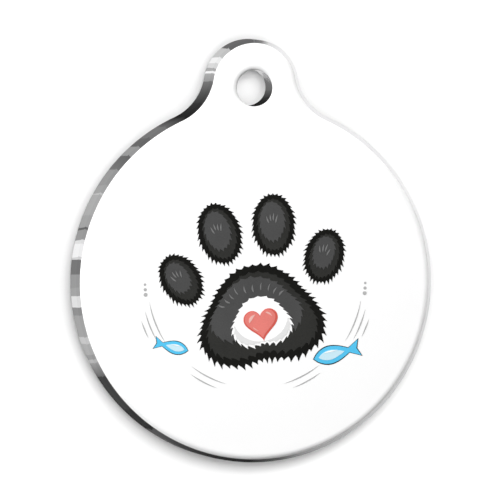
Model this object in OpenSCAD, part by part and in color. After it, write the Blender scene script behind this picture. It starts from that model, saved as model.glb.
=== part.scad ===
// Round pet id tag with a ring ear: a polished metal blank, a white coat on each face,
// and a printed paw, heart and fish motif on the front.
// The tag lies on its back: +Z comes out of the printed face and +Y points to the ear.
// The origin is the centre of the disc, on the outside of the back coat.

/* [Blank] */
// Overall width of the round disc
disc_w = 31.75; // [30:0.25:33]
// Thickness of the metal between its two faces
metal_t = 3.2; // [1.5:0.1:4]
// Width of the polished bevel between the side wall and the front coat
bevel = 0.27; // [0.1:0.01:0.5]
// Radius of the rolled edge where the side wall meets the back face
back_roll = 0.12; // [0.05:0.01:0.3]

/* [Ear] */
// Radius of the round top of the ear
ear_r = 3.95; // [3.5:0.05:4.5]
// Height of the ear's centre above the disc's centre
ear_y = 17.35; // [17.35:0.05:18.4]
// Radius of the hollow neck on each side, where the ear runs into the disc
neck_r = 4.7; // [4.5:0.1:7]

/* [Ring hole] */
// Diameter of the hole for the split ring
hole_d = 3.2; // [2.4:0.1:3.8]
// Height of the hole's centre above the disc's centre
hole_y = 17.05; // [17:0.05:17.8]

/* [Coats] */
// Thickness of the front coat
front_coat_t = 0.32; // [0.15:0.01:0.5]
// Thickness of the back coat
back_coat_t = 0.08; // [0.05:0.01:0.3]
// Width of the front coat's rounded shoulder
shoulder_w = 0.5; // [0.2:0.02:0.6]

/* [Print] */
// Size of the printed motif, 1 being about 18 mm across
print_size = 1; // [0.6:0.05:1.2]
// Turn of the paw in degrees
paw_turn = 9; // [-30:1:30]
// Thickness of one film of ink
ink_t = 0.02; // [0.01:0.01:0.04]
// Length of the longest fur tufts round the pads
tuft = 0.62; // [0.2:0.02:0.8]
// Length of the larger fish
fish_l = 4.2; // [2:0.1:5]
// Width of the heart
heart_w = 3.1; // [1.5:0.1:3.4]

/* [Hidden] */
$fn = 128;
disc_r = disc_w / 2;
coat_inset = bevel + 0.02;             // a coat starts where the bevel ends
z_metal = back_coat_t;                 // back face of the metal
z_front = z_metal + metal_t;           // front face of the metal
z_face = z_front + front_coat_t;       // outside of the front coat, which carries the print
// centre of the neck's hollow, from the two circles that it touches
na = disc_r + neck_r;
nb = ear_r + neck_r;
neck_y = (na * na - nb * nb + ear_y * ear_y) / (2 * ear_y);
neck_x = sqrt(na * na - neck_y * neck_y);

// ---------- the plate shape ----------
// A profile is a list of [inset from the outline, height], from the bottom up.
// Quarter round of height r and width w in n steps, up to the face
function roll_up(r, z, n, w) =
    [for (i = [0 : n]) [w * (1 - cos(90 * i / n)), z + r * sin(90 * i / n)]];
function roll_down(r, z, n) =
    [for (i = [n : -1 : 0]) [r * (1 - cos(90 * i / n)), z - r * sin(90 * i / n)]];
// bevel of width w up to the face at z, with both its corners just broken
function bevel_up(w, z) = [[0, z - w - 0.04], [0.02, z - w + 0.015], [w - 0.035, z - 0.035], [w + 0.02, z]];

module turned(r, prof) {
    n = len(prof) - 1;
    rotate_extrude()
        polygon(concat([[0, prof[0][1]]], [for (p = prof) [r - p[0], p[1]]], [[0, prof[n][1]]]));
}
// what a hollow of radius r takes away, with the same profile turned inside out
module hollowed(r, prof) {
    n = len(prof) - 1;
    rotate_extrude()
        polygon(concat([[0, prof[0][1] - 1], [r + prof[0][0], prof[0][1] - 1]],
                       [for (p = prof) [r + p[0], p[1]]],
                       [[r + prof[n][0], prof[n][1] + 1], [0, prof[n][1] + 1]]));
}
module slab(z0, z1, points) { translate([0, 0, z0]) linear_extrude(z1 - z0) polygon(points); }
// disc, ear and the two hollow necks between them, all with one edge profile;
// the three meet on the flat planes from each centre to the necks' centres
module plate(prof) {
    z0 = prof[0][1];
    z1 = prof[len(prof) - 1][1];
    difference() {
        turned(disc_r, prof);
        slab(z0 - 1, z1 + 1, [[0, 0], [neck_x, neck_y], [-neck_x, neck_y]]);
    }
    difference() {
        translate([0, ear_y, 0]) turned(ear_r, prof);
        slab(z0 - 1, z1 + 1, [[0, ear_y], [-neck_x, neck_y], [-neck_x, 0], [neck_x, 0], [neck_x, neck_y]]);
    }
    difference() {
        slab(z0, z1, [[0, 0], [neck_x, neck_y], [0, ear_y], [-neck_x, neck_y]]);
        for (s = [-1, 1]) translate([s * neck_x, neck_y, 0]) hollowed(neck_r, prof);
    }
}
module ring_hole(z0, z1) {
    translate([0, hole_y, z0 - 1]) cylinder(r = hole_d / 2, h = z1 - z0 + 2);
}
// the ring hole where a coat lies round it: the coat's own shoulder runs down into the hole
module soft_hole(prof) {
    n = len(prof) - 1;
    translate([0, hole_y, 0]) rotate_extrude()
        polygon(concat([[0, prof[0][1] - 1], [hole_d / 2, prof[0][1] - 1]],
                       [for (p = prof) [hole_d / 2 + p[0], p[1]]],
                       [[hole_d / 2 + prof[n][0], prof[n][1] + 1], [0, prof[n][1] + 1]]));
}
function shift(prof, d) = [for (p = prof) [p[0] + d, p[1]]];

module metal_blank() {
    color("silver") difference() {
        plate(concat(roll_down(back_roll, z_metal + back_roll, 3), bevel_up(bevel, z_front)));
        ring_hole(z_metal, z_front);
    }
}
module front_coat() {
    shoulder = roll_up(front_coat_t, z_front, 5, shoulder_w);
    color("white") difference() {
        plate(shift(shoulder, coat_inset));
        soft_hole(shoulder);
    }
}
module back_coat() {
    color("whitesmoke") difference() {
        plate([[coat_inset + 0.12, 0], [coat_inset + 0.03, back_coat_t * 0.4], [coat_inset, back_coat_t]]);
        ring_hole(0, back_coat_t);
    }
}

// ---------- the print ----------
// places in millimetres from the disc's centre
pad_c = [0, -3.1];            // centre of the main pad
toe_c = [[-6.5, 1.5], [-2.45, 4.95], [2.45, 4.95], [6.5, 1.5]];
toe_s = [[1.65, 2.3], [1.8, 2.6], [1.8, 2.6], [1.65, 2.3]];
toe_a = [24, 7, -7, -24];
fish_c = [[7.3, -6.3], [-7.5, -5.6]];
fish_k = [1, 0.72];
fish_a = [14, 166];

function turn(p, a) = [p[0] * cos(a) - p[1] * sin(a), p[0] * sin(a) + p[1] * cos(a)];
// a number from 0 to 1 that follows no visible order
function mix(i) = abs(sin(i * 137.5 + 20));

// smooth outline of a pad: half width a, half height b, lobe pulls three corners out,
// notch pushes the bottom in
function pad_r(t, lobe, notch) = 1 + lobe * cos(3 * (t - 90)) - notch * exp(-pow((t - 270) / 24, 2));
function pad_p(t, a, b, lobe, notch) = let (k = pad_r(t, lobe, notch)) [a * k * cos(t), b * k * sin(t)];
function pad_n(t, a, b, lobe, notch) =
    let (d = pad_p(t + 1, a, b, lobe, notch) - pad_p(t - 1, a, b, lobe, notch), l = norm(d)) [d[1] / l, -d[0] / l];
function pad_at(t, a, b, lobe, notch, out) = let (u = (t % 360 + 360) % 360)
    pad_p(u, a, b, lobe, notch) + out * pad_n(u, a, b, lobe, notch);
// furry outline: n tufts of length l, all leaning down the page, drawn at the distance out from the smooth outline
function fur(n, a, b, lobe, notch, out, l, lean, seed = 0) = let (p = 360 / n)
    [for (i = [0 : n - 1])
        let (t = p * i,
             k = -lean * cos(t),
             h = l * (0.45 + 0.55 * mix(i + seed)) * (0.75 - 0.25 * sin(t)))
        each [pad_at(t, a, b, lobe, notch, out),
              pad_at(t + p * (0.30 + 0.5 * k), a, b, lobe, notch, out + 0.42 * h),
              pad_at(t + p * (0.50 + 1.2 * k), a, b, lobe, notch, out + h),
              pad_at(t + p * (0.72 + 0.4 * k), a, b, lobe, notch, out + 0.36 * h)]];
// a single hair: a leaf from p to q, w wide, bowed sideways by bow
function hair(p, q, w, bow = 0, n = 7) = let (d = q - p, l = norm(d), s = [-d[1] / l, d[0] / l])
    concat([for (i = [0 : n]) let (u = i / n) p + d * u + s * (bow * 4 * u * (1 - u) + w / 2 * pow(sin(180 * u), 0.8) * (1 - 0.5 * u))],
           [for (i = [n - 1 : -1 : 1]) let (u = i / n) p + d * u + s * (bow * 4 * u * (1 - u) - w / 2 * pow(sin(180 * u), 0.8) * (1 - 0.5 * u))]);
// a line along an arc that thins to nothing at both ends
function ripple(r, a0, a1, w, n = 16) =
    concat([for (i = [0 : n]) let (u = i / n, a = a0 + (a1 - a0) * u) (r + w / 2 * sin(180 * u)) * [cos(a), sin(a)]],
           [for (i = [n - 1 : -1 : 1]) let (u = i / n, a = a0 + (a1 - a0) * u) (r - w / 2 * sin(180 * u)) * [cos(a), sin(a)]]);
function heart(w) = [for (t = [0 : 7.5 : 352.5])
    w / 32 * [16 * pow(sin(t), 3), 13 * cos(t) - 5 * cos(2 * t) - 2 * cos(3 * t) - cos(4 * t)]];

// a layer of ink, level 0 lying on the coat
module film(level, c) {
    color(c) translate([0, 0, z_face + ink_t * level]) linear_extrude(ink_t) scale([print_size, print_size]) children();
}
module paw() { translate([0, -0.2]) rotate(paw_turn) children(); }
module on_toe(i) { translate(toe_c[i]) rotate(toe_a[i]) children(); }
module pad_fur(out, l, n, seed = 0) { translate(pad_c) polygon(fur(n, 5.3, 4.3, 0.1, 0.11, out, l, 0.55, seed)); }
module toe_fur(i, out, l, n) { on_toe(i) polygon(fur(n, toe_s[i][0], toe_s[i][1], 0, 0, out, l, 0.6, i * 7)); }
module white_patch() { translate(pad_c + [0, -0.35]) polygon(fur(26, 2.55, 2.15, 0.08, 0.12, 0, 0.34, 0.6, 3)); }
module fish_body(g) {
    polygon(hair([-fish_l * 0.5 - g, 0], [fish_l * 0.34 + g, 0], fish_l * 0.47 + 2.6 * g, 0, 12));
    polygon([[fish_l * 0.18 - g, 0], [fish_l * 0.5 + g, fish_l * 0.17 + g], [fish_l * 0.43 + g, 0],
             [fish_l * 0.5 + g, -fish_l * 0.17 - g]]);
}
module on_fish(i) { translate(fish_c[i]) rotate(fish_a[i]) mirror([0, i]) scale([fish_k[i], fish_k[i]]) children(); }

module ink_black() {
    film(0, "#1b1b19") {
        paw() {
            pad_fur(0, tuft, 54);
            for (i = [0 : 3]) toe_fur(i, 0, tuft * 0.72, 34);
        }
        for (i = [0 : 1]) on_fish(i) fish_body(0.09);
    }
}
module ink_charcoal() {
    film(1, "#343432") paw() {
        pad_fur(-0.62, tuft * 0.62, 40, 5);
        for (i = [0 : 3]) toe_fur(i, -0.42, tuft * 0.42, 22);
    }
}
module ink_grey() {
    film(2, "#4f4f4f") paw() difference() {
        union() {
            // lit side of the main pad
            translate(pad_c + [-0.35, 0.75]) polygon(fur(34, 3.9, 2.7, 0.1, 0.3, 0, 0.42, 0.6, 11));
            for (i = [0 : 3]) on_toe(i) translate([-0.12, 0.3])
                polygon(fur(18, toe_s[i][0] - 0.75, toe_s[i][1] - 0.95, 0, 0, 0, 0.3, 0.6, i * 3));
        }
        white_patch();
    }
}
module ink_white() {
    film(2, "white") paw() white_patch();
    film(3, "white") for (i = [0 : 1]) on_fish(i)
        polygon(hair([-fish_l * 0.26, fish_l * 0.07], [fish_l * 0.04, fish_l * 0.06], fish_l * 0.035, 0.03));
}
module ink_pale_grey() {
    // soft shade along the foot of the white patch
    film(3, "#e9e9e9") paw() translate(pad_c + [0, -0.35]) difference() {
        polygon(fur(26, 2.55, 2.15, 0.08, 0.12, -0.16, 0.2, 0.6, 3));
        translate([0, 0.62]) scale([1, 0.9]) circle(r = 2.45, $fn = 64);
    }
}
module ink_light_grey() {
    film(3, "#7b7b7b") paw() {
        // loose hairs over the lit side of the pads
        for (i = [0 : 9]) let (a = 158 - 14 * i, r = 0.12 * mix(i * 3)) translate(pad_c + [-0.35, 1.0])
            polygon(hair([2.95 * cos(a), 1.62 * sin(a)] * (1 - r), [3.62 * cos(a), 2.42 * sin(a)] * (1 - r), 0.22 - 0.09 * mix(i), 0.07));
        for (i = [0 : 3]) on_toe(i) for (j = [0 : 3]) let (k = j - 1.5)
            translate([-0.12 + 0.24 * k, 0.62 - 0.1 * k * k + 0.1 * mix(i + 2 * j)])
                polygon(hair([-0.04 * k, -0.35], [0.1 * k, 0.42 - 0.15 * mix(i + j)], 0.15, 0.03));
    }
}
module ink_line_grey() {
    film(0, "#b9b9b9") {
        // ripples outside each fish
        for (s = [0 : 1]) for (i = [0 : 2]) mirror([s, 0])
            polygon(ripple(9.6 + 0.55 * i, -33 + 3 * i, -10 - 4 * i, 0.11));
        for (s = [0 : 1]) for (i = [0 : 1]) mirror([s, 0])
            polygon(ripple(9.3 + 0.6 * i, -74 + 4 * i, -52 - 2 * i, 0.11));
        // small bubbles above them
        for (s = [0 : 1]) for (i = [0 : 2]) mirror([s, 0])
            translate(9.85 * [cos(-6 + 2.6 * i), sin(-6 + 2.6 * i)]) circle(r = 0.17 - 0.03 * i, $fn = 24);
    }
}
module ink_blue() { film(1, "#5cc9f5") for (i = [0 : 1]) on_fish(i) fish_body(0); }
module ink_pale_blue() {
    film(2, "#cfeffb") for (i = [0 : 1]) on_fish(i)
        polygon(hair([-fish_l * 0.4, 0], [fish_l * 0.17, 0], fish_l * 0.26, 0, 10));
}
module on_patch() { translate(pad_c + [0, -0.3]) scale(heart_w / 3.2) children(); }
module ink_dark_coral() { film(3, "#db6459") paw() on_patch() polygon(heart(3.2)); }
module ink_coral() { film(4, "#e8837b") paw() on_patch() translate([-0.05, 0.06]) polygon(heart(2.86)); }
module ink_pink() {
    film(5, "#f2bdb5") paw() on_patch() {
        polygon(hair([-1.12, 0.12], [-0.42, 0.82], 0.36, 0.12));
        polygon(hair([0.5, 0.9], [1.08, 0.42], 0.2, 0.08));
        polygon(hair([-0.85, -0.28], [-0.35, -0.72], 0.1, -0.03));
    }
}

metal_blank();
front_coat();
back_coat();
ink_black();
ink_charcoal();
ink_grey();
ink_light_grey();
ink_white();
ink_pale_grey();
ink_line_grey();
ink_blue();
ink_pale_blue();
ink_dark_coral();
ink_coral();
ink_pink();
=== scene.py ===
import bpy
import math
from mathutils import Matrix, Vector
from mathutils.geometry import tessellate_polygon


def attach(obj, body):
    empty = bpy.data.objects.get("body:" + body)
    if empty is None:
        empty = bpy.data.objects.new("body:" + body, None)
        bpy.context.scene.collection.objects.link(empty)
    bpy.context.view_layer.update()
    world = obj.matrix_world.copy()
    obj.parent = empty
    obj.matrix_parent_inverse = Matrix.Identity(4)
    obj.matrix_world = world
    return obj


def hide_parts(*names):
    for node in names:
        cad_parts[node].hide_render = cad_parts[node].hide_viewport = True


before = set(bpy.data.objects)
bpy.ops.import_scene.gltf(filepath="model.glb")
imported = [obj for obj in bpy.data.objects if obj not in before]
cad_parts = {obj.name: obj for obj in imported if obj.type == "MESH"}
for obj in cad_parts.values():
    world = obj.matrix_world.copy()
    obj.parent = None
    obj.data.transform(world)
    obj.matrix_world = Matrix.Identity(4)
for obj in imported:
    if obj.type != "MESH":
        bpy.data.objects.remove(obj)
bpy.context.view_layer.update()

MM = 0.001

# ---------------------------------------------------------------- sizes, in millimetres, as in the CAD model
DISC_R = 15.875
EAR_R, EAR_Y = 3.95, 17.35
NECK_R = 4.7
HOLE_R, HOLE_Y = 1.6, 17.05
BEVEL = 0.27
INSET = BEVEL + 0.02
Z_METAL, Z_FRONT, Z_FACE = 0.08, 3.28, 3.60
SHOULDER_W = 0.50

_na, _nb = DISC_R + NECK_R, EAR_R + NECK_R
NECK_Y = (_na * _na - _nb * _nb + EAR_Y * EAR_Y) / (2 * EAR_Y)
NECK_X = math.sqrt(_na * _na - NECK_Y * NECK_Y)
# angles, from +X, of the rays from the two centres to the left neck's centre
DISC_TOUCH = math.atan2(NECK_Y, -NECK_X)
EAR_TOUCH = math.atan2(NECK_Y - EAR_Y, -NECK_X)


# ---------------------------------------------------------------- camera
# Seen almost square-on, from the left and slightly from the ear's side
TILT_X, TILT_Y = math.radians(10.8), math.radians(2.17)
LENS, SENSOR = 1200.0, 36.0
SCALE = 11.383                      # pixels per millimetre at the printed face, in a 500 pixel frame
LOOK_AT = Vector((-0.464, 2.833, Z_FACE))
DIST = 500.0 / SCALE * LENS / SENSOR
BACK = Vector((-math.tan(TILT_X), math.tan(TILT_Y), 1.0)).normalized()
EYE = LOOK_AT + BACK * DIST

cam_data = bpy.data.cameras.new("camera")
cam_data.lens = LENS
cam_data.sensor_width = SENSOR
cam_data.clip_start = 0.01
cam_data.clip_end = 10.0
cam_data.dof.use_dof = False
cam = bpy.data.objects.new("camera", cam_data)
bpy.context.scene.collection.objects.link(cam)
bpy.context.scene.camera = cam
cam.location = EYE * MM
z_axis = BACK
x_axis = Vector((0, 1, 0)).cross(z_axis).normalized()
y_axis = z_axis.cross(x_axis)
rot = bpy.context.scene.camera.matrix_world.to_3x3()
for i in range(3):
    rot[i][0], rot[i][1], rot[i][2] = x_axis[i], y_axis[i], z_axis[i]
cam.rotation_euler = rot.to_euler()


# ---------------------------------------------------------------- material helpers
class Graph:
    def __init__(self, name):
        self.mat = bpy.data.materials.new(name)
        self.mat.use_nodes = True
        self.tree = self.mat.node_tree
        self.bsdf = self.tree.nodes["Principled BSDF"]
        self.coord = self.node("ShaderNodeTexCoord").outputs["Object"]

    def node(self, kind, **props):
        n = self.tree.nodes.new(kind)
        for k, v in props.items():
            setattr(n, k, v)
        return n

    def link(self, a, b):
        self.tree.links.new(a, b)

    def noise(self, scale, detail=4.0, rough=0.55, stretch=(1, 1, 1), turn=(0, 0, 0), distortion=0.0):
        m = self.node("ShaderNodeMapping")
        m.inputs["Scale"].default_value = stretch
        m.inputs["Rotation"].default_value = turn
        self.link(self.coord, m.inputs["Vector"])
        n = self.node("ShaderNodeTexNoise")
        n.inputs["Scale"].default_value = scale
        n.inputs["Detail"].default_value = detail
        n.inputs["Roughness"].default_value = rough
        n.inputs["Distortion"].default_value = distortion
        self.link(m.outputs["Vector"], n.inputs["Vector"])
        return n.outputs["Fac"]

    def ramp(self, fac, stops, mode="LINEAR"):
        r = self.node("ShaderNodeValToRGB")
        r.color_ramp.interpolation = mode
        els = r.color_ramp.elements
        while len(els) < len(stops):
            els.new(0.5)
        for e, (p, c) in zip(els, stops):
            e.position = p
            e.color = (c[0], c[1], c[2], 1) if isinstance(c, (tuple, list)) else (c, c, c, 1)
        self.link(fac, r.inputs["Fac"])
        return r.outputs["Color"]

    def scale_range(self, fac, lo, hi, a=0.0, b=1.0):
        m = self.node("ShaderNodeMapRange")
        m.inputs["From Min"].default_value = a
        m.inputs["From Max"].default_value = b
        m.inputs["To Min"].default_value = lo
        m.inputs["To Max"].default_value = hi
        self.link(fac, m.inputs["Value"])
        return m.outputs["Result"]

    def add(self, a, b, op="ADD"):
        m = self.node("ShaderNodeMath", operation=op)
        self.link(a, m.inputs[0])
        if isinstance(b, (int, float)):
            m.inputs[1].default_value = b
        else:
            self.link(b, m.inputs[1])
        return m.outputs[0]

    def bump(self, height, distance, strength=1.0, normal=None):
        b = self.node("ShaderNodeBump")
        b.inputs["Strength"].default_value = strength
        b.inputs["Distance"].default_value = distance
        self.link(height, b.inputs["Height"])
        if normal is not None:
            self.link(normal, b.inputs["Normal"])
        return b.outputs["Normal"]


def polished_metal():
    g = Graph("plated_metal")
    b = g.bsdf
    b.inputs["Metallic"].default_value = 1.0
    cloud = g.noise(260, 5, 0.6)
    colour = g.ramp(cloud, [(0.3, (0.895, 0.895, 0.90)), (0.7, (0.93, 0.93, 0.935))])
    g.link(colour, b.inputs["Base Color"])
    # fine handling scratches and a little haze
    hair = g.noise(900, 6, 0.7, stretch=(1, 9, 0.6), turn=(0.3, 0.2, 0.5))
    g.link(g.scale_range(hair, 0.02, 0.075, 0.4, 0.75), b.inputs["Roughness"])
    wave = g.noise(210, 3, 0.5)
    n1 = g.bump(wave, 0.000004, 0.35)
    g.link(g.bump(hair, 0.0000012, 0.25, n1), b.inputs["Normal"])
    return g.mat


def resin_coat(name, tint=(0.905, 0.905, 0.905)):
    g = Graph(name)
    b = g.bsdf
    tone = g.noise(140, 4, 0.5)
    lo = tuple(c * 0.985 for c in tint)
    g.link(g.ramp(tone, [(0.3, lo), (0.7, tint)]), b.inputs["Base Color"])
    fine = g.noise(2600, 3, 0.5)
    g.link(g.scale_range(fine, 0.14, 0.22), b.inputs["Roughness"])
    b.inputs["IOR"].default_value = 1.5
    peel = g.noise(650, 2, 0.4)
    g.link(g.bump(peel, 0.000005, 0.25), b.inputs["Normal"])
    return g.mat


# brightness of a white surface on the face, over its own whiteness, and the gloss that every ink adds
COAT_GAIN, SHEEN = 1.165, 0.005


def ink(name, colour, spread=0.06, rough=0.3):
    """Printed ink: a fine dot grain in its tone and gloss over a slow drift from one pass to the next."""
    g = Graph(name)
    b = g.bsdf
    grain = g.noise(9000, 2, 0.5)
    drift = g.noise(420, 4, 0.6)
    mix = g.add(g.add(grain, 0.5, "MULTIPLY"), g.add(drift, 0.5, "MULTIPLY"))
    base = [max(0.0, (c - SHEEN) / COAT_GAIN) for c in colour]
    lo = tuple(max(0.0, c * (1 - spread) - 0.0006) for c in base)
    hi = tuple(min(0.95, c * (1 + spread) + 0.0006) for c in base)
    g.link(g.ramp(mix, [(0.35, lo), (0.65, hi)]), b.inputs["Base Color"])
    g.link(g.scale_range(grain, rough - 0.05, rough + 0.08), b.inputs["Roughness"])
    b.inputs["IOR"].default_value = 1.45
    b.inputs["Specular IOR Level"].default_value = 0.14
    g.link(g.bump(grain, 0.000003, 0.3), b.inputs["Normal"])
    return g.mat


# ---------------------------------------------------------------- the outline
def outline(n_ear=120, n_neck=56, n_disc=420):
    """Points and outward normals round the tag, counter-clockwise from the ear's right side."""
    pts = []
    a0, a1 = math.pi - EAR_TOUCH, EAR_TOUCH
    for i in range(n_ear):
        a = a0 + (a1 - a0) * i / n_ear
        pts.append((EAR_R * math.cos(a), EAR_Y + EAR_R * math.sin(a), math.cos(a), math.sin(a)))
    for i in range(n_neck):
        a = EAR_TOUCH + (DISC_TOUCH - EAR_TOUCH) * i / n_neck
        c, s = math.cos(a), math.sin(a)
        pts.append((-NECK_X - NECK_R * c, NECK_Y - NECK_R * s, c, s))
    b0, b1 = DISC_TOUCH, 3 * math.pi - DISC_TOUCH
    for i in range(n_disc):
        a = b0 + (b1 - b0) * i / n_disc
        pts.append((DISC_R * math.cos(a), DISC_R * math.sin(a), math.cos(a), math.sin(a)))
    for i in range(n_neck):
        a = (math.pi - DISC_TOUCH) + (DISC_TOUCH - EAR_TOUCH) * i / n_neck
        c, s = math.cos(a), math.sin(a)
        pts.append((NECK_X - NECK_R * c, NECK_Y - NECK_R * s, c, s))
    return pts


def hole_ring(n=144):
    return [(math.cos(2 * math.pi * i / n), math.sin(2 * math.pi * i / n)) for i in range(n)]


def arc(cx, cz, rx, rz, a0, a1, n):
    """Profile points on an ellipse: [inset, z, normal out, normal up]."""
    out = []
    for i in range(n + 1):
        a = math.radians(a0 + (a1 - a0) * i / n)
        c, s = math.cos(a), math.sin(a)
        nr, nz = c / rx, s / rz
        l = math.hypot(nr, nz)
        out.append([cx - rx * c, cz + rz * s, nr / l, nz / l])
    return out


def plate(name, prof, hole):
    """A closed plate: prof is the outer edge from the bottom up as [inset, z, normal out, normal up],
    hole the ring hole's edge from the bottom up as [radius, z, normal to the hole's axis, normal up]."""
    rim, eye = outline(), hole_ring()
    verts, norms, faces = [], [], []
    for inset, z, nr, nz in prof:
        for x, y, nx, ny in rim:
            verts.append((x - nx * inset, y - ny * inset, z))
            norms.append((nx * nr, ny * nr, nz))
    n = len(rim)
    for k in range(len(prof) - 1):
        for i in range(n):
            j = (i + 1) % n
            faces.append((k * n + i, k * n + j, (k + 1) * n + j, (k + 1) * n + i))
    base = len(verts)
    m = len(eye)
    for r, z, nr, nz in hole:
        for c, s in eye:
            verts.append((r * c, HOLE_Y + r * s, z))
            norms.append((-c * nr, -s * nr, nz))
    for k in range(len(hole) - 1):
        for i in range(m):
            j = (i + 1) % m
            faces.append((base + k * m + j, base + k * m + i, base + (k + 1) * m + i, base + (k + 1) * m + j))
    for rim_k, eye_k, up in ((0, 0, False), (len(prof) - 1, len(hole) - 1, True)):
        ids = [rim_k * n + i for i in range(n)]
        ids2 = [base + eye_k * m + i for i in range(m)]
        loops = [[Vector(verts[i]) for i in ids], [Vector(verts[i]) for i in ids2]]
        flat = ids + ids2
        for t in tessellate_polygon(loops):
            a, b, c = (flat[i] for i in t)
            va, vb, vc = (Vector(verts[i]) for i in (a, b, c))
            if ((vb - va).cross(vc - va).z > 0) != up:
                b, c = c, b
            faces.append((a, b, c))
    mesh = bpy.data.meshes.new(name)
    mesh.from_pydata([tuple(v * MM for v in p) for p in verts], [], faces)
    mesh.validate()
    mesh.polygons.foreach_set("use_smooth", [True] * len(mesh.polygons))
    mesh.normals_split_custom_set_from_vertices([Vector(v).normalized() for v in norms])
    mesh.update()
    ob = bpy.data.objects.new(name, mesh)
    bpy.context.scene.collection.objects.link(ob)
    return ob


# ---------------------------------------------------------------- the metal blank
def bevel_profile():
    p = arc(0.12, Z_METAL + 0.12, 0.12, 0.12, -90, 0, 8)          # rolled back edge
    top = Z_FRONT
    for z in (0.7, 1.3, 1.9, 2.4):
        p.append([0.0, z, 1.0, 0.0])
    # side wall into the bevel, the bevel, and the bevel into the face
    k = math.tan(math.radians(22.5))
    r1, r2 = 0.06, 0.05
    z0 = top - BEVEL - r1 * k
    for i in range(7):
        a = math.radians(45 * i / 6)
        p.append([r1 * (1 - math.cos(a)), z0 + r1 * math.sin(a), math.cos(a), math.sin(a)])
    x1, z1 = BEVEL + r2 * k, top
    seg = []
    for i in range(7):
        a = math.radians(45 + 45 * i / 6)
        seg.append([x1 - r2 * math.cos(a), z1 - r2 * (1 - math.sin(a)), math.cos(a), math.sin(a)])
    p += seg
    p.append([INSET + 0.3, top, 0.0, 1.0])
    return p


metal_hole = [[HOLE_R + 0.08, Z_METAL, 0.0, -1.0]]
for i in range(6):
    a = math.radians(90 * i / 5)
    metal_hole.append([HOLE_R + 0.07 * (1 - math.sin(a)), Z_METAL + 0.07 * (1 - math.cos(a)), math.sin(a), -math.cos(a)])
for z in (0.8, 1.6, 2.4):
    metal_hole.append([HOLE_R, z, 1.0, 0.0])
for i in range(5):
    a = math.radians(90 * i / 4)
    metal_hole.append([HOLE_R + 0.03 * (1 - math.cos(a)), Z_FRONT - 0.03 * (1 - math.sin(a)), math.cos(a), math.sin(a)])
metal = plate("metal_body", bevel_profile(), metal_hole)

# ---------------------------------------------------------------- the coats
front_prof = arc(INSET + SHOULDER_W, Z_FRONT, SHOULDER_W, Z_FACE - Z_FRONT, 0, 90, 18)
front_hole = []
for i in range(13):
    a = math.radians(90 * i / 12)
    nr, nz = math.cos(a) / SHOULDER_W, math.sin(a) / (Z_FACE - Z_FRONT)
    l = math.hypot(nr, nz)
    front_hole.append([HOLE_R + SHOULDER_W * (1 - math.cos(a)), Z_FRONT + (Z_FACE - Z_FRONT) * math.sin(a), nr / l, nz / l])
front = plate("front_face_coat", front_prof, front_hole)

back_prof = [[INSET + 0.16, 0.0, 0.0, -1.0]] + arc(INSET + 0.13, Z_METAL, 0.13, 0.08, -90, 0, 6)
back_hole = [[HOLE_R + 0.06, 0.0, 0.0, -1.0]]
for i in range(5):
    a = math.radians(90 * i / 4)
    back_hole.append([HOLE_R + 0.05 * (1 - math.sin(a)), 0.05 * (1 - math.cos(a)), math.sin(a), -math.cos(a)])
back_hole.append([HOLE_R, Z_METAL, 1.0, 0.0])
back = plate("back_face_coat", back_prof, back_hole)

metal_mat = polished_metal()
coat_mat = resin_coat("white_coat")
metal.data.materials.append(metal_mat)
front.data.materials.append(coat_mat)
back.data.materials.append(coat_mat)
for ob, node, slot in ((metal, "metal_blank", "plated_metal"), (front, "front_coat", "white_coat"), (back, "back_coat", "white_coat")):
    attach(ob, "root")
    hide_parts(node)

# ---------------------------------------------------------------- the print: the CAD films, each in its own ink
INKS = {
    "ink_black": ((0.0112, 0.0112, 0.0102), 0.25, 0.34),
    "ink_charcoal": ((0.0340, 0.0340, 0.0320), 0.14, 0.34),
    "ink_grey": ((0.0780, 0.0780, 0.0780), 0.10, 0.34),
    "ink_light_grey": ((0.1980, 0.1980, 0.1980), 0.06, 0.32),
    "ink_white": ((1.05, 1.05, 1.05), 0.01, 0.26),
    "ink_pale_grey": ((0.81, 0.81, 0.81), 0.02, 0.26),
    "ink_line_grey": ((0.4850, 0.4850, 0.4850), 0.05, 0.30),
    "ink_blue": ((0.107, 0.584, 0.913), 0.05, 0.30),
    "ink_pale_blue": ((0.624, 0.863, 0.965), 0.02, 0.28),
    "ink_dark_coral": ((0.708, 0.127, 0.100), 0.06, 0.30),
    "ink_coral": ((0.807, 0.227, 0.198), 0.05, 0.30),
    "ink_pink": ((0.888, 0.509, 0.462), 0.03, 0.28),
}
for node, (colour, spread, rough) in INKS.items():
    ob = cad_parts[node]
    m = ink(node, colour, spread, rough)
    if ob.data.materials:
        for i in range(len(ob.data.materials)):
            ob.data.materials[i] = m
    else:
        ob.data.materials.append(m)


# ---------------------------------------------------------------- stage
def quad_mesh(name, verts, faces, mat):
    mesh = bpy.data.meshes.new(name)
    mesh.from_pydata([tuple(v * MM for v in p) for p in verts], [], faces)
    mesh.update()
    ob = bpy.data.objects.new(name, mesh)
    ob.data.materials.append(mat)
    bpy.context.scene.collection.objects.link(ob)
    return ob


def floor_material():
    g = Graph("floor_white")
    tone = g.noise(30, 4, 0.5)
    g.link(g.ramp(tone, [(0.3, 0.895), (0.7, 0.905)]), g.bsdf.inputs["Base Color"])
    g.bsdf.inputs["Roughness"].default_value = 0.85
    g.bsdf.inputs["Specular IOR Level"].default_value = 0.1
    return g.mat


G = -0.01            # just under the back coat, so that the two faces don't coincide
floor = quad_mesh("floor", [(-1200, -1200, G), (1200, -1200, G), (1200, 1200, G), (-1200, 1200, G)], [(0, 1, 2, 3)],
                  floor_material())
floor.visible_glossy = False        # the polished wall mirrors the strip reflectors instead


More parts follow.
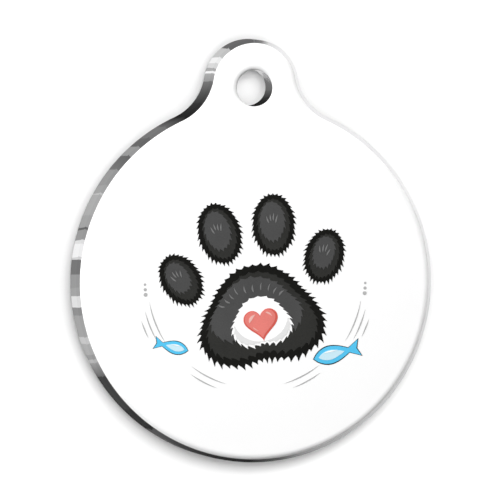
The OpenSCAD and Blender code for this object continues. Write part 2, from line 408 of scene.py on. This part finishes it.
def glow_material(name):
    """Light from a reflector, its level stored on the mesh's corners."""
    mat = bpy.data.materials.new(name)
    mat.use_nodes = True
    t = mat.node_tree
    t.nodes.clear()
    out = t.nodes.new("ShaderNodeOutputMaterial")
    em = t.nodes.new("ShaderNodeEmission")
    at = t.nodes.new("ShaderNodeAttribute")
    at.attribute_name = "glow"
    path = t.nodes.new("ShaderNodeLightPath")
    direct = t.nodes.new("ShaderNodeMath")
    direct.operation = "LESS_THAN"
    direct.inputs[1].default_value = 0.5
    t.links.new(path.outputs["Diffuse Depth"], direct.inputs[0])
    t.links.new(direct.outputs[0], em.inputs["Strength"])
    t.links.new(at.outputs["Color"], em.inputs["Color"])
    t.links.new(em.outputs["Emission"], out.inputs["Surface"])
    mat.cycles.emission_sampling = "NONE"
    return mat


class Reflector:
    """Mesh of quads with a light level at each corner. Only glossy rays see it."""

    def __init__(self, name):
        self.name, self.verts, self.faces, self.glow = name, [], [], []

    def quad(self, pts, levels):
        b = len(self.verts)
        self.verts += [tuple(p) for p in pts]
        self.faces.append((b, b + 1, b + 2, b + 3))
        self.glow += levels

    def build(self, mat):
        ob = quad_mesh(self.name, self.verts, self.faces, mat)
        at = ob.data.color_attributes.new(name="glow", type="FLOAT_COLOR", domain="CORNER")
        for i, v in enumerate(self.glow):
            at.data[i].color = (v, v, v, 1)
        ob.visible_camera = ob.visible_diffuse = ob.visible_transmission = False
        ob.visible_volume_scatter = ob.visible_shadow = False
        return ob


def left_point(y):
    """Point and normal on the tag's left outline at height y."""
    ya = EAR_Y + EAR_R * math.sin(EAR_TOUCH)
    yb = DISC_R * math.sin(DISC_TOUCH)
    if y > ya:
        s = max(-1.0, min(1.0, (y - EAR_Y) / EAR_R))
        c = -math.sqrt(1 - s * s)
        return EAR_R * c, y, c, s
    if y > yb:
        s = (NECK_Y - y) / NECK_R
        c = -math.sqrt(max(0.0, 1 - s * s))
        return -NECK_X - NECK_R * c, y, c, s
    s = max(-1.0, min(1.0, y / DISC_R))
    c = -math.sqrt(1 - s * s)
    return DISC_R * c, y, c, s


def bounce(p, n):
    """Direction in which the line of sight leaves a mirror at p with normal n."""
    d = (p - EYE).normalized()
    return d - 2 * d.dot(n) * n


UNDER = -0.35       # level of the reflector under the floor


def wall_mirror(x, y, nx, ny, z):
    """Where the side wall at height z mirrors the plane of the lower reflector."""
    p = Vector((x, y, z))
    r = bounce(p, Vector((nx, ny, 0)))
    return p + r * ((UNDER - z) / r.z)


def bevel_mirror(x, y, nx, ny, away, rise):
    p = Vector((x - nx * 0.17, y - ny * 0.17, Z_FRONT - 0.17))
    r = bounce(p, Vector((nx, ny, 1)).normalized())
    h = math.hypot(r.x, r.y)
    q = p + r * (away / h)
    return Vector((q.x, q.y, q.z + rise))


def section(pa, pb, pc):
    """The reflector's cross-section for one level; pa, pb and pc are the places on the outline where the foot of
    the wall, its head and the bevel mirror it."""
    out = [wall_mirror(*pa, -0.3), wall_mirror(*pb, Z_FRONT - BEVEL + 0.05), wall_mirror(*pb, 5.0)]
    for rise in (-1.6, 1.2, 4.0):
        out.append(bevel_mirror(*pc, 2.6, rise))
    return out


# Strip reflectors along the left side, from the top of the ear down. Each line: height of its upper edge on the
# tag in millimetres, how far that edge slants across the wall, light level at its upper and at its lower edge.
STRIPS = [
    (21.4, 0.0, 0.15, 0.15),
    (20.5, -0.1, 0.60, 0.60),
    (19.7, 0.0, 0.95, 0.95),
    (19.2, 0.0, 0.75, 0.75),
    (18.8, -0.1, 0.45, 0.45),
    (18.5, 0.0, 1.00, 1.00),
    (18.3, 0.0, 0.45, 0.35),
    (17.6, 0.0, 0.20, 0.10),
    (16.6, 0.0, 0.10, 0.05),
    (15.7, 0.0, 0.04, 0.02),
    (14.5, 0.0, 0.02, 0.15),
    (13.6, 0.0, 0.20, 0.20),
    (12.6, 0.1, 0.15, 0.15),
    (11.9, 0.0, 0.35, 0.35),
    (11.1, 0.0, 0.15, 0.20),
    (9.9, 0.0, 0.35, 0.35),
    (8.5, 0.1, 0.40, 0.40),
    (7.8, 0.1, 0.60, 0.60),
    (7.7, 0.0, 0.45, 0.45),
    (5.9, 0.0, 0.40, 0.40),
    (4.8, 0.1, 0.15, 0.15),
    (4.6, 0.1, 0.35, 0.35),
    (3.7, 0.1, 0.80, 0.80),
    (3.4, 0.0, 0.95, 0.95),
    (2.2, 0.1, 0.70, 0.70),
    (2.0, 0.0, 0.20, 0.20),
    (0.7, 0.0, 0.35, 0.35),
    (-0.5, 0.1, 0.40, 0.40),
    (-1.2, 0.0, 0.80, 0.80),
    (-2.2, 0.0, 0.30, 0.30),
    (-2.9, 0.0, 0.40, 0.40),
    (-4.8, 0.0, 0.60, 0.60),
    (-5.4, 0.0, 0.45, 0.45),
    (-6.4, 0.1, 0.35, 0.35),
    (-6.8, 0.1, 0.50, 0.50),
    (-7.1, 0.1, 0.35, 0.15),
    (-8.3, 0.1, 0.06, 0.06),
    (-9.9, 0.1, 0.06, 0.06),
    (-11.2, 0.1, 0.04, 0.04),
    (-12.7, 0.1, 0.03, 0.03),
    (-12.9, 0.0, 0.10, 0.10),
    (-14.4, 0.0, 0.08, 0.05),
    (-15.7, 0.0, 0.05, 0.05),
    (-15.94, 0.0, 0.05, 0.05),
]

# the bevel is darker than the wall below this height
BEVEL_FOOT = [(-13.0, 0.10), (-15.0, 0.04), (-15.95, 0.02)]
# half of the height by which a level band would sink from the wall's foot to its head in the picture
DROOP = 0.5 * (Z_FRONT - Z_METAL) * math.tan(TILT_Y)

glow = glow_material("reflector_glow")


def between(table, at, default):
    for (a, u), (b, v) in zip(table, table[1:]):
        if min(a, b) <= at <= max(a, b):
            return u + (v - u) * (at - a) / (b - a)
    return default


def left_reflector():
    r = Reflector("strip_reflector")
    for k in range(len(STRIPS) - 1):
        (y0, s0, a, _), (y1, s1, _, _) = STRIPS[k], STRIPS[k + 1]
        b = STRIPS[k][3]
        steps = max(4, int(abs(y0 - y1) / 0.06))
        if k == 0:
            steps = 60
        rows = []
        for i in range(steps + 1):
            u = i / steps
            y, s = y0 + (y1 - y0) * u, s0 + (s1 - s0) * u
            top = EAR_Y + EAR_R - 1e-4
            pa = left_point(min(top, y - s / 2 - DROOP))
            pb = left_point(min(top, y + s / 2 + DROOP))
            lift = 0.17 * pb[3] * (1 - 0.55 * max(0.0, min(1.0, (y - 2) / 4, (21.3 - y) / 0.6)))
            pc = left_point(min(top, pb[1] + lift + 0.1 * (s + 2 * DROOP)))
            lw = a + (b - a) * u
            lb = between(BEVEL_FOOT, y, lw) if y < BEVEL_FOOT[0][0] else lw
            rows.append((section(pa, pb, pc), [lw, lw, lw, lb, lb, lb]))
        for (p, lp), (q, lq) in zip(rows, rows[1:]):
            for j in range(len(p) - 1):
                r.quad((p[j], p[j + 1], q[j + 1], q[j]), (lp[j], lp[j + 1], lq[j + 1], lq[j]))
    return r.build(glow)


left_reflector()

# The bevel on the rest of the outline, by angle: dark below, light on the right
DISC_BEVEL = [(-90.5, 0.04), (-82, 0.1), (-74, 0.3), (-60, 0.45), (-45, 0.6), (-20, 0.7), (0, 0.8), (30, 0.95), (90, 0.9)]
# and over the ear: the dark of its upper left side ends just past the top
EAR_BEVEL = [(-60, 0.95), (50, 0.95), (70, 0.8), (80, 0.25), (91, 0.15)]


# Light and dark bands that the side wall mirrors on the right: angle from +X where each starts, and its level
RIGHT_BANDS = [(-64, 0.62), (-57, 0.85), (-50, 0.40), (-46, 0.66), (-38, 0.93), (-31, 0.52), (-27, 0.74), (-18, 0.95),
               (-9, 0.45), (-5, 0.82), (4, 0.60), (9, 0.36), (13, 0.70), (22, 0.95), (32, 0.56), (36, 0.80), (44, 0.42),
               (49, 0.68), (58, 0.93), (66, 0.50), (72, 0.78), (84, 0.60), (100, 0.60)]


def band(deg):
    level = RIGHT_BANDS[0][1]
    for start, lv in RIGHT_BANDS:
        if deg >= start:
            level = lv
    return level


def far_reflector():
    """The same bands farther out and below the floor, for lower angles of view."""
    r = Reflector("far_reflector")
    for (d0, lv), (d1, _) in zip(RIGHT_BANDS, RIGHT_BANDS[1:]):
        n = max(1, int((d1 - d0) / 3))
        for i in range(n):
            a0, a1 = (math.radians(d0 + (d1 - d0) * (i + k) / n) for k in (0, 1))
            for z0, z1, f0, f1 in ((-1.2, -8, 1.0, 0.9), (-8, -26, 0.9, 0.7), (-26, -60, 0.7, 0.6)):
                r.quad([(60 * math.cos(a0), 60 * math.sin(a0), z0), (60 * math.cos(a1), 60 * math.sin(a1), z0),
                        (60 * math.cos(a1), 60 * math.sin(a1), z1), (60 * math.cos(a0), 60 * math.sin(a0), z1)],
                       (lv * f0, lv * f0, lv * f1, lv * f1))
    return r.build(glow)


def right_reflector():
    r = Reflector("fill_reflector")
    rows = []
    n = 260
    for i in range(n + 1):      # right side of the disc
        a = math.radians(-90.5) + (math.pi - DISC_TOUCH + math.radians(90.5)) * i / n
        lv = between(DISC_BEVEL, math.degrees(a), 0.93)
        rows.append((DISC_R * math.cos(a), DISC_R * math.sin(a), math.cos(a), math.sin(a), lv))
    for i in range(1, 41):      # right neck
        a = (math.pi - DISC_TOUCH) + (DISC_TOUCH - EAR_TOUCH) * i / 40
        c, s = math.cos(a), math.sin(a)
        rows.append((NECK_X - NECK_R * c, NECK_Y - NECK_R * s, c, s, 0.93))
    for i in range(1, 121):     # ear, up to its top
        a = (math.pi - EAR_TOUCH) + (math.pi / 2 - math.pi + EAR_TOUCH) * i / 120
        lv = between(EAR_BEVEL, math.degrees(a), 0.93)
        rows.append((EAR_R * math.cos(a), EAR_Y + EAR_R * math.sin(a), math.cos(a), math.sin(a), lv))
    prev = None
    for x, y, nx, ny, lv in rows:
        base = Vector((x, y, 0))
        n = Vector((nx, ny, 0))
        pts = [wall_mirror(x, y, nx, ny, -0.3), wall_mirror(x, y, nx, ny, Z_FRONT - BEVEL + 0.05)]
        if nx > 0.35:
            pts = [base - n * 0.3 + Vector((0, 0, UNDER)), base + n * 1.2 + Vector((0, 0, UNDER))]
        pts.append(base + n * 2.4 + Vector((0, 0, UNDER)))
        low = lv
        if nx > 0.35:
            at = math.degrees(math.atan2(ny, nx))
            low = sum(band(at + d) for d in (-0.9, -0.3, 0.3, 0.9)) / 4
        levels = [low, low, low, low, lv, lv, lv]
        for rise in (-1.6, -0.5, 1.2, 4.0):
            pts.append(bevel_mirror(x, y, nx, ny, 2.6, rise))
        if prev:
            p0, l0 = prev
            for j in range(len(pts) - 1):
                r.quad((p0[j], p0[j + 1], pts[j + 1], pts[j]), (l0[j], l0[j + 1], levels[j + 1], levels[j]))
        prev = (pts, levels)
    return r.build(glow)


right_reflector()
far_reflector()

# Strips that the ring hole's wall mirrors, by height on the tag
BORE = [(18.7, 0.1, 0.7, 0.7), (18.3, 0.1, 0.4, 0.4), (17.9, 0.0, 0.2, 0.15), (16.8, 0.0, 0.12, 0.05), (16.2, 0.0, 0.04, 0.02),
        (15.6, 0.0, 0.02, 0.02), (15.455, 0.0, 0.02, 0.02)]


def bore_reflector():
    r = Reflector("bore_reflector")
    heights = [-0.3 + 4.5 * i / 9 for i in range(10)]

    def place(y, z):
        s = max(-1.0, min(1.0, (y - HOLE_Y) / HOLE_R))
        c = math.sqrt(1 - s * s)
        return wall_mirror(HOLE_R * c, y, -c, -s, z)

    rows = []
    for (y0, s0, a, b), (y1, s1, _, _) in zip(BORE, BORE[1:]):
        for i in range(17):
            u = i / 16
            y, s = y0 + (y1 - y0) * u, s0 + (s1 - s0) * u
            rows.append(([place(y + (s + 2 * DROOP) * (z / Z_FRONT - 0.5), z) for z in heights], a + (b - a) * u))
    for i in range(16):         # past the hole's lowest point
        a = math.radians(-76 - 2 * i)
        c, s = math.cos(a), math.sin(a)
        rows.append(([wall_mirror(HOLE_R * c, HOLE_Y + HOLE_R * s, -c, -s, z) for z in heights], 0.018))
    for (p, lp), (q, lq) in zip(rows, rows[1:]):
        for j in range(len(heights) - 1):
            r.quad((p[j], p[j + 1], q[j + 1], q[j]), (lp, lp, lq, lq))
    # dark ground below it all on the hole's lower side
    z = UNDER - 0.1
    r.quad([(-2.2, 14.4, z), (2.6, 14.4, z), (2.6, 17.0, z), (-2.2, 17.0, z)], (0.02, 0.02, 0.02, 0.02))
    return r.build(glow)


bore_reflector()


# ---------------------------------------------------------------- light
def lit_only(light, name, receivers):
    col = bpy.data.collections.new(name + "_on")
    for r in receivers:
        col.objects.link(r)
    light.light_linking.receiver_collection = col


def softbox(name, elevation, azimuth, size, power, receivers, dist=400):
    """A square softbox that faces the tag, placed by its angle above the floor and its angle from +X."""
    data = bpy.data.lights.new(name, "AREA")
    data.shape = "SQUARE"
    data.size = size * MM
    data.energy = power
    ob = bpy.data.objects.new(name, data)
    bpy.context.scene.collection.objects.link(ob)
    e, a = math.radians(elevation), math.radians(azimuth)
    d = Vector((math.cos(e) * math.cos(a), math.cos(e) * math.sin(a), math.sin(e)))
    ob.location = d * dist * MM
    ob.rotation_euler = d.to_track_quat("Z", "Y").to_euler()
    ob.visible_camera = False
    lit_only(ob, name, receivers)
    return ob


# on the floor: mostly steep light from the ear's side, so that the shadow stays close to the tag
for i, (elevation, azimuth, size, power) in enumerate([
        (84, 0, 60, 0.022), (84, 120, 60, 0.202), (81, 178, 70, 0.038), (77, 5, 100, 0.052), (84, 240, 60, 0.092), (84, 300, 60, 0.040),
        (76, 90, 110, 0.335), (76, 135, 110, 0.244), (76, 270, 110, 0.016), (76, 315, 110, 0.104),
        (70, 60, 100, 0.159), (70, 90, 100, 0.202), (70, 150, 100, 0.130), (70, 240, 100, 0.049),
        (46, 45, 150, 0.118), (46, 315, 150, 0.080),
        (32, 150, 160, 0.054), (32, 180, 160, 0.048), (32, 240, 160, 0.143), (32, 300, 160, 0.166)]):
    softbox("floor_softbox_%d" % (i + 1), elevation, azimuth, size, power, [floor])
# on the face: from the upper left, so that the coat's shoulder falls off below and on the right
face = [front, back] + [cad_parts[n] for n in INKS]
for i, (elevation, azimuth, size, power) in enumerate([
        (40, 90, 160, 0.674), (40, 120, 160, 0.469), (40, 150, 160, 0.922), (40, 180, 160, 0.145), (40, 30, 160, 0.139),
        (18, 180, 140, 0.837), (18, 0, 140, 0.366)]):
    box = softbox("face_softbox_%d" % (i + 1), elevation, azimuth, size, power, face)
    box.visible_glossy = elevation > 30     # the low ones would glare on the print when it is seen from the side

# a small spot that reaches the floor through the ring hole
spot_data = bpy.data.lights.new("hole_spot", "SPOT")
spot_data.energy = 5.9
spot_data.shadow_soft_size = 0.022
spot_data.spot_size = math.radians(1.6)
spot_data.spot_blend = 0.2
hole_spot = bpy.data.objects.new("hole_spot", spot_data)
bpy.context.scene.collection.objects.link(hole_spot)
spot_dir = Vector((0.16, -0.03, 1.0)).normalized()
hole_spot.location = (Vector((0, HOLE_Y, 1.6)) + spot_dir * 300) * MM
hole_spot.rotation_euler = spot_dir.to_track_quat("Z", "Y").to_euler()
lit_only(hole_spot, "hole_spot", [floor])

world = bpy.data.worlds.new("studio")
bpy.context.scene.world = world
world.use_nodes = True
wt = world.node_tree
wt.nodes.clear()
w_out = wt.nodes.new("ShaderNodeOutputWorld")
w_path = wt.nodes.new("ShaderNodeLightPath")


def sky(strength):
    n = wt.nodes.new("ShaderNodeBackground")
    n.inputs["Color"].default_value = (strength, strength, strength, 1)
    return n.outputs["Background"]


def choose(fac, a, b):
    n = wt.nodes.new("ShaderNodeMixShader")
    wt.links.new(fac, n.inputs["Fac"])
    wt.links.new(a, n.inputs[1])
    wt.links.new(b, n.inputs[2])
    return n.outputs["Shader"]


# faint as fill, brighter in the polished metal, white where it is seen behind the floor
w_first = wt.nodes.new("ShaderNodeMath")
w_first.operation = "LESS_THAN"
w_first.inputs[1].default_value = 0.5
wt.links.new(w_path.outputs["Diffuse Depth"], w_first.inputs[0])
w_mirror = wt.nodes.new("ShaderNodeMath")
w_mirror.operation = "MULTIPLY"
wt.links.new(w_path.outputs["Is Glossy Ray"], w_mirror.inputs[0])
wt.links.new(w_first.outputs[0], w_mirror.inputs[1])
fill = choose(w_mirror.outputs[0], sky(0.04), sky(0.5))
wt.links.new(choose(w_path.outputs["Is Camera Ray"], fill, sky(0.96)), w_out.inputs["Surface"])

scene = bpy.context.scene
scene.view_settings.view_transform = "Standard"
scene.view_settings.look = "None"
scene.view_settings.exposure = 0.0
scene.view_settings.gamma = 1.0
